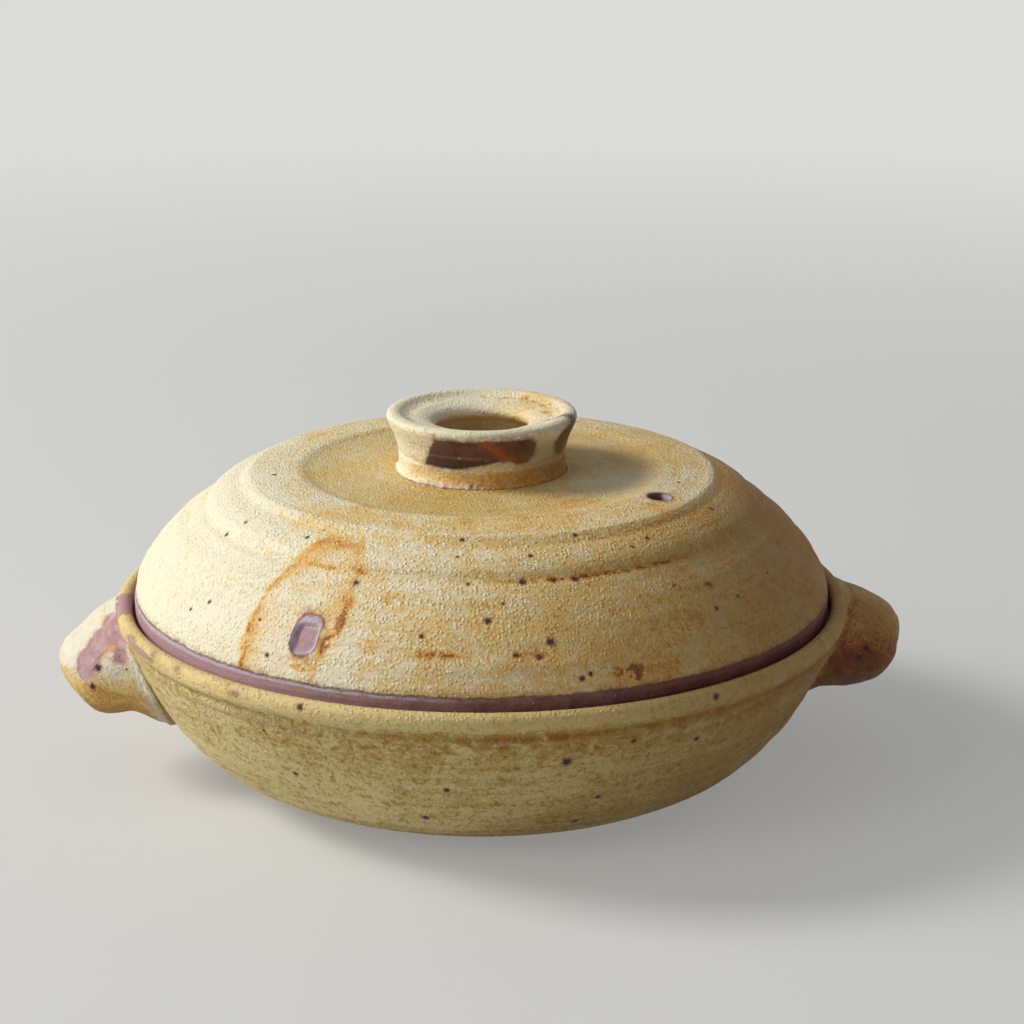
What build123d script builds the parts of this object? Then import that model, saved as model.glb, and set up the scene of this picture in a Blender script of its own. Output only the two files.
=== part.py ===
"""Donabe: a wheel-thrown stoneware casserole with a lid that sits inside the rim.

Five pieces: the bowl, two lug handles luted to its wall, the lid and the hollow
ring knob luted on top of it.  The pot stands on its foot ring at z = 0, its axis
is Z, and the two handles lie on the X axis.
"""
import os

from build123d import *

# Driving dimensions, in millimetres
rim_radius = 140.0
rim_height = 69.0
rim_roll = 3.1
foot_radius = 74.0
foot_width = 11.0
foot_height = 3.4
floor_thickness = 7.0
lid_rise = 48.2
lid_wall = 6.0
knob_rise = 22.7
steam_hole_radius = 4.6
steam_hole_place = (60.4, -49.4)
handle_reach = 162.0
handle_half_width = 26.0

# Rolled rim: a half round on top of the wall
roll_height = rim_height - rim_roll
roll_crest = (rim_radius - rim_roll, rim_height)
roll_outside = (rim_radius, roll_height)
roll_start = (rim_radius - 1.2, 61.4)

# Gallery: the ledge inside the rim that carries the lid
gallery_depth = 7.0
gallery_radius = rim_radius - 2 * rim_roll
gallery_width = 9.3
ledge_height = rim_height - gallery_depth
ledge_lip_radius = gallery_radius - gallery_width
ledge_lip_bevel = 1.2

# Bowl's outside, from the groove under the rolled rim down to the foot
groove = (137.2, 59.8)
shoulder = (136.9, 58.2)
upper_wall = (129.7, 42.5)
belly = (121.0, 27.5)
turn_in = (101.0, 8.8)
underside = (80.0, foot_height)
foot_top = (foot_radius + 1.0, foot_height)

# Foot ring and the recess turned inside it
foot_inner_radius = foot_radius - foot_width
foot_recess = 2.6
recess_slope = 1.0

# Bowl's inside, from the gallery lip down to the floor
floor_height = foot_recess + floor_thickness
inner_lip = (ledge_lip_radius, 53.0)
inner_upper_wall = (121.7, 43.0)
inner_belly = (114.7, 31.6)
inner_turn_in = (96.5, 14.9)
floor_edge = (76.0, floor_height + 0.4)

# Lid's outside, from the knob's seat over the two turned steps to its bare edge
lid_top = rim_height + lid_rise
knob_seat_edge = (58.0, lid_top)
dish_edge = (71.0, lid_top + 0.6)
band_crest = (78.0, lid_top + 0.7)
band_fall = (86.0, lid_top + 0.1)
plateau_turn = (88.6, lid_top - 0.7)
plateau_edge = (90.2, lid_top - 2.0)
first_step = (93.4, lid_top - 4.2)
terrace = (98.9, lid_top - 6.2)
terrace_edge = (103.0, lid_top - 9.2)
second_step = (105.4, lid_top - 12.2)
dome = (119.5, 93.6)
dome_shoulder = (129.6, 80.9)
lid_edge_radius = 132.8
lid_edge_top = (lid_edge_radius, 70.5)

# Lid's underside: it stands clear of the flange and rests on the ledge
lid_gap = 0.3
lid_seat_width = 6.4
lid_seat_rounding = 0.9
lid_base = ledge_height + lid_gap
lid_edge_foot = (lid_edge_radius - 0.4, lid_base)
lid_inner_radius = lid_edge_radius - lid_seat_width
lid_inner_foot = (lid_inner_radius, 68.5)
lid_inner_dome = (109.6, 95.2)
lid_ceiling = lid_top - lid_wall
lid_ceiling_edge = (82.0, lid_ceiling)

# Ring knob: foot, turning groove, flared cup, rolled rim and funnel
knob_top = lid_top + knob_rise
knob_foot_inner_radius = 25.5
knob_foot_radius = 31.0
knob_groove = (31.5, lid_top + 7.4)
knob_waist = (32.3, lid_top + 8.6)
knob_cup = (33.6, lid_top + 13.6)
knob_roll = (35.8, lid_top + 18.2)
knob_crest = (34.2, knob_top)
knob_funnel = (25.5, knob_top - 2.3)
finger_hole_top = (18.6, knob_top - 5.0)
finger_hole = (17.9, knob_top - 6.2)
finger_hole_foot = (18.4, knob_top - 7.6)
knob_hollow = (24.6, lid_top + 9.0)

# Lug handle: distance from the axis, half width, top and bottom of each section, from
# the root inside the wall, over the waist, to the rounded end
lug_sections = [
    (120.0, handle_half_width + 1.0, rim_height - 2.0, 21.0),
    (133.0, handle_half_width + 0.5, rim_height - 2.3, 25.5),
    (145.0, handle_half_width - 1.5, rim_height - 5.0, 28.0),
    (154.0, handle_half_width - 4.5, rim_height - 9.0, 30.5),
    (handle_reach - 2.0, handle_half_width - 9.5, rim_height - 13.5, 35.0),
    (handle_reach, handle_half_width - 14.5, rim_height - 17.5, 39.0),
]
section_fullness = 2.3
lug_end_rounding = 3.0


with BuildLine() as outside:
    # Foot ring, belly, groove and rolled rim, from the table up to the rim's top
    Polyline((foot_radius, 0), foot_top, underside)
    wall_arc = ThreePointArc(shoulder, upper_wall, belly)
    turn_arc = TangentArc(belly, turn_in, tangent=wall_arc % 1)
    TangentArc(turn_in, underside, tangent=turn_arc % 1)
    Polyline(shoulder, groove, roll_start)
    TangentArc(roll_outside, roll_start, tangent=(0, -1))
    TangentArc(roll_outside, roll_crest, tangent=(0, 1))


with BuildPart() as bowl_blank:
    # The bowl with nothing hollowed out: its outside cuts the handles' roots
    with BuildSketch(Plane.XZ):
        with BuildLine():
            add(outside.line)
            Polyline(roll_crest, (0, rim_height), (0, 0), (foot_radius, 0))
        make_face()
    revolve(axis=Axis.Z)


with BuildPart() as pot_body:
    with BuildSketch(Plane.XZ) as wall_section:
        with BuildLine():
            add(outside.line)
            # Inside of the roll, the flange and the gallery ledge
            TangentArc((gallery_radius, roll_height), roll_crest, tangent=(0, 1))
            Polyline(
                (gallery_radius, roll_height),
                (gallery_radius, ledge_height),
                (ledge_lip_radius + ledge_lip_bevel, ledge_height),
                (ledge_lip_radius, ledge_height - ledge_lip_bevel),
                inner_lip,
            )
            # Cooking hollow, down to the floor
            inner_wall_arc = ThreePointArc(inner_lip, inner_upper_wall, inner_belly)
            inner_turn_arc = TangentArc(inner_belly, inner_turn_in, tangent=inner_wall_arc % 1)
            TangentArc(inner_turn_in, floor_edge, tangent=inner_turn_arc % 1)
            Polyline(floor_edge, (0, floor_height), (0, foot_recess))
            # Recess turned inside the foot ring
            Polyline(
                (0, foot_recess),
                (foot_inner_radius - recess_slope, foot_recess),
                (foot_inner_radius, 0),
                (foot_radius, 0),
            )
        make_face()
    revolve(axis=Axis.Z)


with BuildPart() as lid:
    with BuildSketch(Plane.XZ) as lid_section:
        with BuildLine():
            # Top: flat seat for the knob, shallow dish, raised band, then the first edge
            Line((0, lid_top), knob_seat_edge)
            TangentArc(knob_seat_edge, dish_edge, tangent=(1, 0))
            ThreePointArc(dish_edge, band_crest, band_fall)
            ThreePointArc(band_fall, plateau_turn, plateau_edge)
            # First step down to the terrace, second step down to the dome
            Line(plateau_edge, first_step)
            ThreePointArc(first_step, terrace, terrace_edge)
            Line(terrace_edge, second_step)
            dome_arc = ThreePointArc(second_step, dome, dome_shoulder)
            TangentArc(dome_shoulder, lid_edge_top, tangent=dome_arc % 1)
            # Bare edge that drops inside the flange, and the flat seat ring
            Polyline(lid_edge_top, lid_edge_foot, (lid_inner_radius, lid_base), lid_inner_foot)
            ThreePointArc(lid_inner_foot, lid_inner_dome, lid_ceiling_edge)
            Polyline(lid_ceiling_edge, (0, lid_ceiling), (0, lid_top))
        make_face()
    revolve(axis=Axis.Z)
    # Steam hole, punched straight down through the raised band
    with Locations((*steam_hole_place, lid_top)):
        Hole(radius=steam_hole_radius, depth=4 * lid_wall)
    seat_ring = lid.faces().sort_by(Axis.Z)[0]
    fillet(seat_ring.edges(), radius=lid_seat_rounding)


with BuildPart() as lid_knob:
    with BuildSketch(Plane.XZ) as knob_section:
        with BuildLine():
            Polyline((knob_foot_radius, lid_top), knob_groove, knob_waist)
            flare_arc = ThreePointArc(knob_waist, knob_cup, knob_roll)
            TangentArc(knob_roll, knob_crest, tangent=flare_arc % 1)
            # Funnel top down to the finger hole, and the hollow under it
            ThreePointArc(knob_crest, knob_funnel, finger_hole_top)
            ThreePointArc(finger_hole_top, finger_hole, finger_hole_foot)
            ThreePointArc(finger_hole_foot, knob_hollow, (knob_foot_inner_radius, lid_top))
            Line((knob_foot_inner_radius, lid_top), (knob_foot_radius, lid_top))
        make_face()
    revolve(axis=Axis.Z)


with BuildPart() as handle_right:
    for reach, half_width, top, bottom in lug_sections:
        middle = (top + bottom) / 2
        corner = 0.5 ** (1 / section_fullness)
        corner_width = half_width * corner
        corner_height = (top - bottom) / 2 * corner
        with BuildSketch(Plane.YZ.offset(reach)):
            with BuildLine():
                Spline(
                    (half_width, middle),
                    (corner_width, middle + corner_height),
                    (0, top),
                    (-corner_width, middle + corner_height),
                    (-half_width, middle),
                    (-corner_width, middle - corner_height),
                    (0, bottom),
                    (corner_width, middle - corner_height),
                    periodic=True,
                )
            make_face()
    loft()
    fillet(handle_right.faces().sort_by(Axis.X)[-1].edges(), radius=lug_end_rounding)
    add(bowl_blank.part, mode=Mode.SUBTRACT)


with BuildPart() as handle_left:
    add(handle_right.part)
    mirror(about=Plane.YZ, mode=Mode.REPLACE)


os.makedirs("parts", exist_ok=True)
pieces = {
    "pot_body": pot_body,
    "handle_left": handle_left,
    "handle_right": handle_right,
    "lid": lid,
    "lid_knob": lid_knob,
}
for name, piece in pieces.items():
    piece.part.label = name
    export_step(piece.part, f"parts/{name}.step")
    print(name, f"{piece.part.volume / 1000:.1f} cm3", piece.part.bounding_box())
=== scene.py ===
"""Donabe in matte ash glaze: a thrown bowl, lid and ring knob, and two hand-pressed lugs.

Lengths in the outlines and patterns are millimetres, as a potter would measure them.
Meshes are in metres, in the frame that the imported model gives.
"""
import math
from functools import partial, reduce

import bmesh
import bpy
import numpy as np
from mathutils import Matrix, Vector, noise


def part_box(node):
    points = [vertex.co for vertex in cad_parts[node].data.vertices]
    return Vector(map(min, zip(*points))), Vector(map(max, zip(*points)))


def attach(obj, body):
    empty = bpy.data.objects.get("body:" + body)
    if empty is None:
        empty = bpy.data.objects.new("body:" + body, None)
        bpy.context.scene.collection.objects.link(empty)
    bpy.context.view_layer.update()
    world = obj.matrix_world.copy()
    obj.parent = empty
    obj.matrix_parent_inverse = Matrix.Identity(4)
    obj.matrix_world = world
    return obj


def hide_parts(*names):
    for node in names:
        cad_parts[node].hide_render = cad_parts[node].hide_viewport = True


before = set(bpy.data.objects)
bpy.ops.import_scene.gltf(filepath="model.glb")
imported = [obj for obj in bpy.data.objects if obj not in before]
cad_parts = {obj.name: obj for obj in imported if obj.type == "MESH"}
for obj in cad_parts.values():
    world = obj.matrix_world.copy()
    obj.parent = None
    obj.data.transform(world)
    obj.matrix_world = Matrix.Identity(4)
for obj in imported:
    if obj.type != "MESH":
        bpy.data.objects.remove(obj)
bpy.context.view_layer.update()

MM = 0.001

# Driving dimensions, read from the frame
rim_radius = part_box("pot_body")[1][0] / MM
rim_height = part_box("pot_body")[1][2] / MM
lid_edge_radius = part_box("lid")[1][0] / MM
lid_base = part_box("lid")[0][2] / MM
lid_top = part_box("lid_knob")[0][2] / MM
knob_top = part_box("lid_knob")[1][2] / MM

# Where the glaze stops above the rim, and the steam hole punched through the raised band
glaze_stop = 3.6
steam_hole = (60.4, -49.4)
steam_hole_radius = 4.0

# The press on the lid's front: a plain shallow hollow in bare clay
press_azimuth = -125.0
press_radius = 124.9
press_width = 10.5
press_length = 15.0
press_depth = 1.4

# Small stray spots of iron: how far apart, and how far they are moved from the other patterns
stray_spacing = 8.0
stray_shift = 31.0

# How strongly light bounces off glaze and fired clay
glaze_ior = 1.46

# The view: a long lens looking down at the pot, with the handles' line turned a little
camera_distance = 981.8
camera_height = 390.0
camera_turn = math.radians(6.0)
camera_pitch = math.radians(16.5)
camera_yaw = 0.0118
camera_roll = 0.0023
camera_lens = 94.0


def tone(red, green, blue):
    """A colour given as it looks on screen, 0 to 255, as Blender's linear colour."""
    linear = []
    for value in (red, green, blue):
        share = value / 255
        linear.append(share / 12.92 if share <= 0.04045 else ((share + 0.055) / 1.055) ** 2.4)
    return (*linear, 1.0)


# Glaze and clay colours
cream_ash = tone(232, 224, 194)
ochre_ash = tone(222, 189, 117)
orange_ash = tone(206, 146, 60)
# Painted shade for the lid's right side
right_shade_ash = tone(144, 98, 38)
straw_ash = tone(214, 198, 142)
khaki_ash = tone(180, 152, 80)
# Umber glaze, also laid on as painted shade on the right sides
umber_ash_and_shade = tone(162, 116, 40)
# Golden brown glaze, also laid on as painted shade under the lugs
golden_brown_and_shade = tone(138, 92, 24)
orange_wash = tone(222, 160, 80)
flash_orange = tone(186, 90, 38)
rust = tone(124, 60, 34)
iron = tone(62, 32, 36)
# Painted shade along a crease on the knob
painted_crease_shade = tone(50, 30, 30)
mauve_clay = tone(150, 104, 98)
# Painted light: bare clay as lit on the left
lit_rosy_clay = tone(196, 160, 164)
knob_clay = tone(118, 78, 72)
brown_clay = tone(112, 68, 58)
# Painted shade: bare clay in shade on the right
shaded_red_clay = tone(104, 46, 34)
# Dark clay, also laid on as painted shade in hollows
dark_clay_and_shade = tone(84, 50, 42)
pale_grog = tone(200, 184, 172)
# Lilac slip, also laid on as painted highlights
lilac_slip_and_gleam = tone(196, 184, 190)
# Painted sheen on bare clay
bluish_sheen = tone(186, 184, 206)
floor_grey = tone(212, 212, 209)
far_grey = tone(222, 222, 219)


# Node trees


class Value:
    """An output of a node, which works in plain arithmetic with numbers and other outputs."""

    def __init__(self, make, socket):
        self.make = make
        self.socket = socket

    def outputs(self):
        """All the outputs of this one's node, by name."""
        return {socket.name: Value(self.make, socket) for socket in self.socket.node.outputs}

    def __add__(self, other):
        return self.make.math("ADD", self, other)

    def __sub__(self, other):
        return self.make.math("SUBTRACT", self, other)

    def __rsub__(self, other):
        return self.make.math("SUBTRACT", other, self)

    def __mul__(self, other):
        return self.make.math("MULTIPLY", self, other)

    def __truediv__(self, other):
        return self.make.math("DIVIDE", self, other)

    def __pow__(self, other):
        return self.make.math("POWER", self, other)

    def __abs__(self):
        return self.make.math("ABSOLUTE", self)

    __radd__ = __add__
    __rmul__ = __mul__


class Tree:
    """Short words for making and joining the nodes of one node tree."""

    def __init__(self, tree):
        self.nodes = tree.nodes
        self.links = tree.links

    def put(self, socket, value):
        """Joins a value to a socket, or sets the socket to a plain number, colour or vector."""
        if isinstance(value, Value):
            self.links.new(value.socket, socket)
        elif value is not None:
            socket.default_value = value

    def node(self, kind, inputs=None, output=0, **settings):
        """A new node with its inputs filled, as the value of one of its outputs."""
        made = self.nodes.new(kind)
        for name, value in settings.items():
            setattr(made, name, value)
        for name, value in (inputs or {}).items():
            self.put(made.inputs[name], value)
        return Value(self, made.outputs[output])

    def math(self, operation, *values):
        return self.node("ShaderNodeMath", dict(enumerate(values)), operation=operation)

    def lowest(self, *values):
        return reduce(partial(self.math, "MINIMUM"), values)

    def highest(self, *values):
        return reduce(partial(self.math, "MAXIMUM"), values)

    def vector(self, operation, *values, scale=None):
        """A vector operation. A length, a distance or a dot product comes out as one number."""
        output = "Value" if operation in {"LENGTH", "DISTANCE", "DOT_PRODUCT"} else "Vector"
        inputs = dict(enumerate(values))
        if scale is not None:
            inputs["Scale"] = scale
        return self.node("ShaderNodeVectorMath", inputs, output, operation=operation)

    def split(self, coordinates):
        return list(self.node("ShaderNodeSeparateXYZ", {0: coordinates}).outputs().values())

    def noise(self, coordinates, size, seed=0.0, detail=2.0, roughness=0.5):
        """Cloudy noise from 0 to 1 whose patches are about `size` across."""
        inputs = {"Vector": coordinates, "W": seed, "Scale": 1 / size, "Detail": detail}
        return self.node("ShaderNodeTexNoise", {**inputs, "Roughness": roughness}, noise_dimensions="4D")

    def scatter(self, coordinates, size):
        """The distance to the nearest of many scattered points, and that point's random number."""
        near = self.node("ShaderNodeTexVoronoi", {"Vector": coordinates, "Scale": 1 / size}).outputs()
        return near["Distance"], self.split(near["Color"])[0]

    def ramp(self, value, low, high, start=0.0, end=1.0):
        """A smooth step from `start` to `end` as value goes from low to high."""
        inputs = dict(enumerate((value, low, high, start, end)))
        return self.node("ShaderNodeMapRange", inputs, interpolation_type="SMOOTHSTEP")

    def blend(self, factor, below, above):
        """One colour laid over another."""
        inputs = {0: factor, 6: below, 7: above}
        return self.node("ShaderNodeMix", inputs, 2, data_type="RGBA", clamp_factor=True)

    def mix(self, factor, below, above):
        """One value laid over another."""
        inputs = {0: factor, 2: below, 3: above}
        return self.node("ShaderNodeMix", inputs, 0, data_type="FLOAT", clamp_factor=True)

    def ring_coordinates(self, coordinates, lean, run, spacing):
        """Coordinates stretched along the turning rings: long round the axis, short across."""
        x, y, z = self.split(coordinates)
        along = z * lean + self.math("SQRT", x * x + y * y)
        return self.node("ShaderNodeCombineXYZ", {0: x / run, 1: y / run, 2: along / spacing})


socket_kinds = {float: "Float", int: "Int", tuple: "Color"}


def node_group(name, kind, inputs, outputs):
    """An empty node group, the Tree that fills it, its inputs' values and its output sockets.

    An input is given by its default value, or by its kind where it has none.
    """
    group = bpy.data.node_groups.new(name, kind)
    for label, given in inputs.items():
        named = isinstance(given, str)
        socket_type = "NodeSocket" + (given if named else socket_kinds[type(given)])
        socket = group.interface.new_socket(label, in_out="INPUT", socket_type=socket_type)
        if not named:
            socket.default_value = given
    for label, given in outputs.items():
        group.interface.new_socket(label, in_out="OUTPUT", socket_type="NodeSocket" + given)
    make = Tree(group)
    start = {socket.name: Value(make, socket) for socket in group.nodes.new("NodeGroupInput").outputs}
    return group, make, start, group.nodes.new("NodeGroupOutput").inputs


# Outlines of the thrown pieces, as (distance from the axis, height) in millimetres


def line(*points):
    return [np.array(point, float) for point in points]


def arc(start, middle, end, count=24):
    """Points on the circle through three points, from start to end."""
    (ax, ay), (bx, by), (cx, cy) = start, middle, end
    twice_area = 2 * (ax * (by - cy) + bx * (cy - ay) + cx * (ay - by))
    squares = [ax**2 + ay**2, bx**2 + by**2, cx**2 + cy**2]
    centre = np.array(
        [
            (squares[0] * (by - cy) + squares[1] * (cy - ay) + squares[2] * (ay - by)) / twice_area,
            (squares[0] * (cx - bx) + squares[1] * (ax - cx) + squares[2] * (bx - ax)) / twice_area,
        ]
    )
    angles = [math.atan2(y - centre[1], x - centre[0]) for x, y in (start, middle, end)]
    turns = np.unwrap(angles)
    radius = math.hypot(ax - centre[0], ay - centre[1])
    sweep = np.linspace(turns[0], turns[2], count)
    return [centre + radius * np.array([math.cos(a), math.sin(a)]) for a in sweep]


def curve(*points, count=12):
    """A smooth curve through the points, by cubic pieces with shared tangents."""
    stops = [np.array(point, float) for point in points]
    spans = [np.linalg.norm(b - a) for a, b in zip(stops, stops[1:])]
    slopes = [(b - a) / d for a, b, d in zip(stops, stops[1:], spans)]
    tangents = [slopes[0]]
    for before, after, d0, d1 in zip(slopes, slopes[1:], spans, spans[1:]):
        tangents.append((before * d1 + after * d0) / (d0 + d1))
    tangents.append(slopes[-1])
    made = []
    for i, span in enumerate(spans):
        for t in np.linspace(0, 1, count, endpoint=False):
            made.append(
                (2 * t**3 - 3 * t**2 + 1) * stops[i]
                + (t**3 - 2 * t**2 + t) * span * tangents[i]
                + (3 * t**2 - 2 * t**3) * stops[i + 1]
                + (t**3 - t**2) * span * tangents[i + 1]
            )
    return made + [stops[-1]]


def chain(start, *spans):
    """Spans that start where the one before ends, from (how drawn, row spacing, marks, *points)."""
    made = []
    for draw, spacing, marks, *points in spans:
        made.append((draw(start, *points), spacing, marks))
        start = points[-1]
    return made


def outline(spans, softness, closed=False):
    """Joins spans of (points, row spacing, turning marks) and softens every corner.

    Returns the rows' points and how strongly the turning marks show on each.
    """
    fine = 0.2
    points, steps, marks = [], [], []
    for stretch, step, mark in spans:
        for a, b in zip(stretch, stretch[1:]):
            pieces = max(1, round(np.linalg.norm(b - a) / fine))
            for t in np.linspace(0, 1, pieces, endpoint=False):
                points.append(a + (b - a) * t)
                steps.append(step)
                marks.append(mark)
    points = np.array(points)
    marks = np.array(marks, float)
    reach = int(4 * softness / fine)
    weights = np.exp(-0.5 * (np.arange(-reach, reach + 1) * fine / softness) ** 2)
    weights /= weights.sum()

    def soften(values):
        padded = np.pad(values, reach, mode="wrap" if closed else "edge")
        return np.convolve(padded, weights, mode="valid")

    soft = np.stack([soften(points[:, 0]), soften(points[:, 1])], axis=1)
    marks = soften(marks)
    if not closed:
        soft[0] = points[0]
        soft[-1] = spans[-1][0][-1]
    rows, travelled = [0], 0.0
    for i in range(1, len(soft)):
        travelled += np.linalg.norm(soft[i] - soft[i - 1])
        if travelled >= steps[i]:
            rows.append(i)
            travelled = 0.0
    rows.append(0 if closed else len(soft) - 1)
    return soft[rows], marks[rows]


def bowl_outline():
    """From the middle of the recess under the foot, up the outside and down the inside."""
    recess_height, foot_height, floor_height = 2.6, 3.4, 9.6
    foot_inner, foot_outer, foot_back = 63.0, 74.0, 80.0
    roll = 3.1
    roll_height = rim_height - roll
    flange = rim_radius - 2 * roll
    ledge_height = rim_height - 7.0
    ledge_lip = flange - 9.3
    bevel = 1.2
    spans = chain(
        # Foot ring and the step behind it
        (0, recess_height),
        (line, 4.0, 0.0, (foot_inner - 1, recess_height), (foot_inner, 0), (foot_outer, 0)),
        (line, 0.9, 0.0, (foot_outer + 1, foot_height), (foot_back, foot_height)),
        # Wall, groove and rolled rim
        (curve, 1.15, 1.0, (101, 8.8), (121, 27.5), (129.7, 42.5), (136.9, 58.2)),
        (line, 0.5, 0.6, (136.8, 60.2), (rim_radius - 1.6, 61.6)),
        (curve, 0.6, 0.3, (rim_radius - 0.2, 63.6), (rim_radius, roll_height)),
        (arc, 0.6, 0.2, (rim_radius - roll, rim_height), (flange, roll_height)),
        # Ledge with its bevelled lip, then the cooking hollow
        (line, 1.2, 0.0, (flange, ledge_height), (ledge_lip + bevel, ledge_height)),
        (line, 1.2, 0.2, (ledge_lip, ledge_height - bevel), (ledge_lip, 53)),
        (curve, 2.4, 0.8, (121.7, 43), (114.7, 31.6), (96.5, 14.9), (76, floor_height + 0.4)),
        (line, 3.0, 1.0, (0, floor_height)),
    )
    return outline(spans, softness=0.55)


def lid_outline():
    """From the middle of the top, out over the steps and the dome, and back underneath."""
    top, edge = lid_top, lid_edge_radius
    ceiling = top - 6.0
    inner_edge = edge - 6.4
    spans = chain(
        # The knob's seat, the shallow dish and the raised band
        (0, top),
        (line, 4.0, 0.2, (34, top)),
        (curve, 1.4, 0.4, (44, top - 0.3), (62, top - 0.5)),
        (curve, 1.1, 0.4, (65.5, top - 0.2), (68, top + 0.4), (70, top + 0.75)),
        (arc, 1.1, 0.35, (79, top + 0.3), (88.2, top - 0.75)),
        # Two turned steps with a terrace between them, then the dome
        (arc, 0.5, 0.3, (90.2, top - 2.0), (91.8, top - 3.2)),
        (arc, 1.0, 0.6, (98.4, top - 6.0), (103.1, top - 9.0)),
        (line, 0.5, 0.3, (105.3, top - 12.3)),
        (arc, 1.15, 1.0, (119.5, 93.6), (129.6, 80.9)),
        (curve, 1.15, 0.8, (131.9, 75.8), (edge, 70.5)),
        # Bare skirt, seat ring and the inside of the dome
        (line, 1.2, 0.2, (edge - 0.4, lid_base)),
        (line, 1.5, 0.0, (inner_edge, lid_base), (inner_edge, 68.5)),
        (arc, 3.0, 0.8, (109.6, 95.2), (82, ceiling)),
        (line, 4.0, 0.8, (0, ceiling)),
    )
    return outline(spans, softness=0.32)


def knob_outline():
    """Round the hollow ring: up the outside, over the rolled rim, down the funnel and inside."""
    base, top = lid_top, knob_top
    ring = chain(
        # Foot, turned crease, flare and rolled rim
        (33.0, base),
        (curve, 0.7, 0.5, (32.0, base + 1.2), (31.6, base + 4.0), (31.8, base + 6.9)),
        (line, 0.5, 0.3, (31.1, base + 7.6), (31.9, base + 8.4)),
        (curve, 0.7, 1.0, (33.3, base + 13.6), (35.4, base + 18.2), (36.2, base + 20.3)),
        (curve, 0.6, 0.4, (35.7, base + 21.9), (33.6, top), (31.4, top - 0.3), (29.9, top - 1.3)),
        # Funnel and finger hole
        (curve, 0.7, 1.0, (28.4, top - 1.9), (24.5, top - 2.4), (20.2, top - 3.5)),
        (curve, 0.6, 0.3, (18.4, top - 4.8), (17.9, top - 6.2), (18.4, top - 7.6)),
    )
    hollow = chain(
        (18.4, top - 7.8),
        (curve, 1.4, 0.5, (22.4, base + 12.2), (24.6, base + 9.0), (25.5, base)),
        (line, 1.8, 0.0, (33.0, base)),
    )
    return outline(ring + hollow, softness=0.45, closed=True)


def thrown_form_tree():
    """Turns an outline round the axis, with the rings that a thrower's fingers leave."""
    tree, make, start, end = node_group(
        "thrown_form",
        "GeometryNodeTree",
        {
            "Outline": "Geometry", "Segments": 300, "Ring height": 0.2, "Ring spacing": 8.0,
            "Ring run": 90.0, "Lean": 1.0, "Wobble": 0.3, "Seed": 0.0, "Finish": "Material",
        },
        {"Form": "Geometry"},
    )
    outline_rows, seed = start["Outline"], start["Seed"]
    position = make.node("GeometryNodeInputPosition")
    marks = make.node("GeometryNodeInputNamedAttribute", {"Name": "marks"}, data_type="FLOAT")
    # A grid with a column of the outline's rows for each step round the axis
    rows = make.node("GeometryNodeAttributeDomainSize", {"Geometry": outline_rows})
    grid = make.node("GeometryNodeMeshGrid", {"Vertices X": start["Segments"] + 1, "Vertices Y": rows})
    index = make.node("GeometryNodeInputIndex")
    angle = make.math("FLOOR", index / rows) * (2 * math.pi) / start["Segments"]

    def on_row(value, kind):
        inputs = {"Geometry": outline_rows, "Value": value, "Index": make.math("MODULO", index, rows)}
        return make.node("GeometryNodeSampleIndex", inputs, data_type=kind)

    radius, _, height = make.split(on_row(position, "FLOAT_VECTOR"))
    x, y = radius * make.math("COSINE", angle), radius * make.math("SINE", angle)
    turned = make.node("ShaderNodeCombineXYZ", {0: x, 1: y, 2: height})
    named = {"Geometry": grid, "Name": "marks", "Value": on_row(marks, "FLOAT")}
    form = make.node("GeometryNodeStoreNamedAttribute", named, data_type="FLOAT")
    form = make.node("GeometryNodeSetPosition", {"Geometry": form, "Position": turned})
    form = make.node("GeometryNodeMergeByDistance", {"Geometry": form, "Distance": 0.02 * MM})
    # Finger rings stand along the surface's normal, and the whole form is a little out of round
    in_mm = make.vector("SCALE", position, scale=1 / MM)
    rings = make.ring_coordinates(in_mm, start["Lean"], start["Ring run"], start["Ring spacing"])
    ring = make.noise(rings, 1.0, seed, detail=1.5) - 0.5
    sway = make.noise(in_mm, 60.0, seed, detail=0.0) - 0.5
    lift = (2.0 * ring * start["Ring height"] + sway * start["Wobble"]) * marks * MM
    offset = make.vector("SCALE", make.node("GeometryNodeInputNormal"), scale=lift)
    form = make.node("GeometryNodeSetPosition", {"Geometry": form, "Offset": offset})
    form = make.node("GeometryNodeSetShadeSmooth", {"Geometry": form})
    form = make.node("GeometryNodeRealizeInstances", {"Geometry": form})
    form = make.node("GeometryNodeSetMaterial", {"Geometry": form, "Material": start["Finish"]})
    make.put(end["Form"], form)
    return tree


# Meshes


def new_object(name, mesh):
    made = bpy.data.objects.new(name, mesh)
    bpy.context.scene.collection.objects.link(made)
    return made


def plain_mesh(source, name):
    """The evaluated result of an object as a new object with a plain mesh, faces outwards."""
    depsgraph = bpy.context.evaluated_depsgraph_get()
    mesh = bpy.data.meshes.new_from_object(source.evaluated_get(depsgraph))
    mesh.name = name
    made = new_object(name, mesh)
    bpy.data.objects.remove(source)
    face_outwards(mesh)
    return made


def face_outwards(mesh):
    shape = bmesh.new()
    shape.from_mesh(mesh)
    bmesh.ops.recalc_face_normals(shape, faces=shape.faces)
    if shape.calc_volume(signed=True) < 0:
        bmesh.ops.reverse_faces(shape, faces=shape.faces)
    shape.to_mesh(mesh)
    shape.free()
    mesh.update()


def dress(mesh, finish):
    """One smooth finish over the whole mesh."""
    mesh.materials.clear()
    mesh.materials.append(finish)
    for polygon in mesh.polygons:
        polygon.material_index = 0
        polygon.use_smooth = True


def use_tree(source, tree, values):
    """Adds a tree as a modifier and sets its inputs by their identifiers."""
    modifier = source.modifiers.new(tree.name, "NODES")
    modifier.node_group = tree
    for socket in tree.interface.items_tree:
        if socket.item_type == "SOCKET" and socket.in_out == "INPUT" and socket.name in values:
            modifier[socket.identifier] = values[socket.name]


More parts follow.
